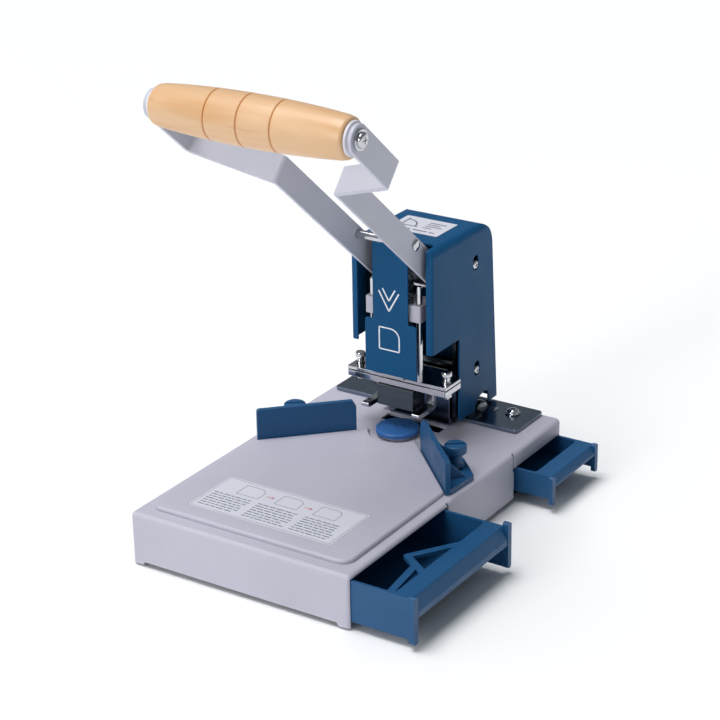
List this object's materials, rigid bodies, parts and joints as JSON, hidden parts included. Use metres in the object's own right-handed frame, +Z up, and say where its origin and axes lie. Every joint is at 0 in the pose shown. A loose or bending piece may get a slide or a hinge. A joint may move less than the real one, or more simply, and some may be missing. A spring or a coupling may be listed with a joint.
{
  "type": "corner rounding paper punch",
  "caption": "Desktop lever punch that rounds paper corners: sheet-steel base with drawers, 45 degree fences, a spring-return press in a tower and a wooden grip.",
  "frame": {"origin": "bottom centre of the bounding box, on the surface that the rubber feet stand on, with both drawers part open as stored", "axes": "+Z up, +Y from the front of the base to the tower, +X to the side that the drawers open to"},
  "size_m": [0.2172, 0.2744, 0.3213],
  "materials": {
    "housing_paint": "satin lavender-grey powder coat",
    "arm_paint": "satin grey paint on flat steel strip",
    "tower_paint": "satin blue powder coat",
    "blue_plastic": "semi-matt moulded blue plastic",
    "disc_plastic": "satin light blue plastic",
    "bright_chrome": "polished plating",
    "plain_steel": "ground steel",
    "dark_steel": "dark oiled ground steel",
    "grip_wood": "clear-lacquered turned birch with burnt grooves",
    "cap_plastic": "white plastic",
    "foot_rubber": "matt black rubber",
    "label_paper": "printed plastic film without lettering"
  },
  "bodies": {
    "base": {"base_housing": "housing_paint", "table_plate": "housing_paint", "bottom_plate": "plain_steel", "rubber_foot_1": "foot_rubber", "rubber_foot_2": "foot_rubber", "rubber_foot_3": "foot_rubber", "rubber_foot_4": "foot_rubber", "front_partition": "plain_steel", "rear_partition": "plain_steel", "disc_anvil": "plain_steel", "table_label": "label_paper", "tower_base_plate": "dark_steel", "base_bolt_1": "bright_chrome", "base_bolt_2": "bright_chrome", "base_bolt_3": "bright_chrome", "base_bolt_4": "bright_chrome", "base_screw": "plain_steel", "tower_cover": "tower_paint", "tower_label": "label_paper", "cover_screw_right_1": "bright_chrome", "cover_screw_left_1": "bright_chrome", "cover_screw_right_2": "bright_chrome", "cover_screw_left_2": "bright_chrome", "right_frame_plate": "housing_paint", "left_frame_plate": "housing_paint", "frame_spacer_top": "dark_steel", "frame_spacer_bottom": "dark_steel", "guide_block": "housing_paint", "die_column": "dark_steel", "return_spring_right": "dark_steel", "return_spring_left": "dark_steel"},
    "press": {"face_plate": "tower_paint", "slide_block": "plain_steel", "guide_rod_right": "bright_chrome", "guide_rod_left": "bright_chrome", "upper_plate": "bright_chrome", "lower_plate": "bright_chrome", "plate_bolt_right": "bright_chrome", "plate_bolt_left": "bright_chrome", "punch_block": "dark_steel", "corner_knife": "plain_steel", "hold_down": "plain_steel"},
    "handle": {"arm_right": "arm_paint", "arm_left": "arm_paint", "cross_rod": "bright_chrome", "rocker": "plain_steel", "grip_bolt": "bright_chrome", "grip_cap_right": "cap_plastic", "grip_cap_left": "cap_plastic", "pivot_shaft": "plain_steel"},
    "grip": {"wood_grip": "grip_wood"},
    "disc": {"cutting_disc": "disc_plastic"},
    "front_tray": {"front_drawer": "blue_plastic"},
    "rear_tray": {"rear_drawer": "blue_plastic"},
    "left_fence_body": {"left_fence": "blue_plastic"},
    "right_fence_body": {"right_fence": "blue_plastic"},
    "left_knob_body": {"left_knob": "blue_plastic"},
    "right_knob_body": {"right_knob": "blue_plastic"}
  },
  "joints": [
    {"name": "handle_swing", "type": "hinge", "parent": "base", "child": "handle", "pos_m": [-0.02365, 0.07795, 0.1487], "axis": [1, 0, 0], "range_deg": [0, 36]},
    {"name": "press_slide", "type": "slide", "parent": "base", "child": "press", "axis": [0, 0, -1], "range_m": [0, 0.0121], "stiffness_N_per_m": 1500, "springref_m": -0.03, "deforming": ["return_spring_left", "return_spring_right"]},
    {"name": "grip_spin", "type": "hinge", "parent": "handle", "child": "grip", "pos_m": [-0.02365, -0.10167, 0.30484], "axis": [1, 0, 0], "continuous": true},
    {"name": "disc_turn", "type": "hinge", "parent": "base", "child": "disc", "pos_m": [-0.02365, 0.05535, 0.042], "axis": [0, 0, 1], "continuous": true},
    {"name": "front_drawer_slide", "type": "slide", "parent": "base", "child": "front_tray", "axis": [1, 0, 0], "range_m": [-0.042, 0.06]},
    {"name": "rear_drawer_slide", "type": "slide", "parent": "base", "child": "rear_tray", "axis": [1, 0, 0], "range_m": [-0.0255, 0.08]},
    {"name": "left_fence_slide", "type": "slide", "parent": "base", "child": "left_fence_body", "axis": [0.7071, 0.7071, 0], "range_m": [-0.01, 0]},
    {"name": "right_fence_slide", "type": "slide", "parent": "base", "child": "right_fence_body", "axis": [-0.7071, 0.7071, 0], "range_m": [-0.005, 0.005]},
    {"name": "left_knob_turn", "type": "hinge", "parent": "base", "child": "left_knob_body", "pos_m": [-0.08865, 0.02455, 0.05], "axis": [0, 0, 1], "continuous": true},
    {"name": "right_knob_turn", "type": "hinge", "parent": "base", "child": "right_knob_body", "pos_m": [0.04135, 0.02455, 0.05], "axis": [0, 0, 1], "continuous": true}
  ],
  "couplings": [
    {"joint": "press_slide", "follows": "handle_swing", "m_per_rad": 0.019099}
  ]
}
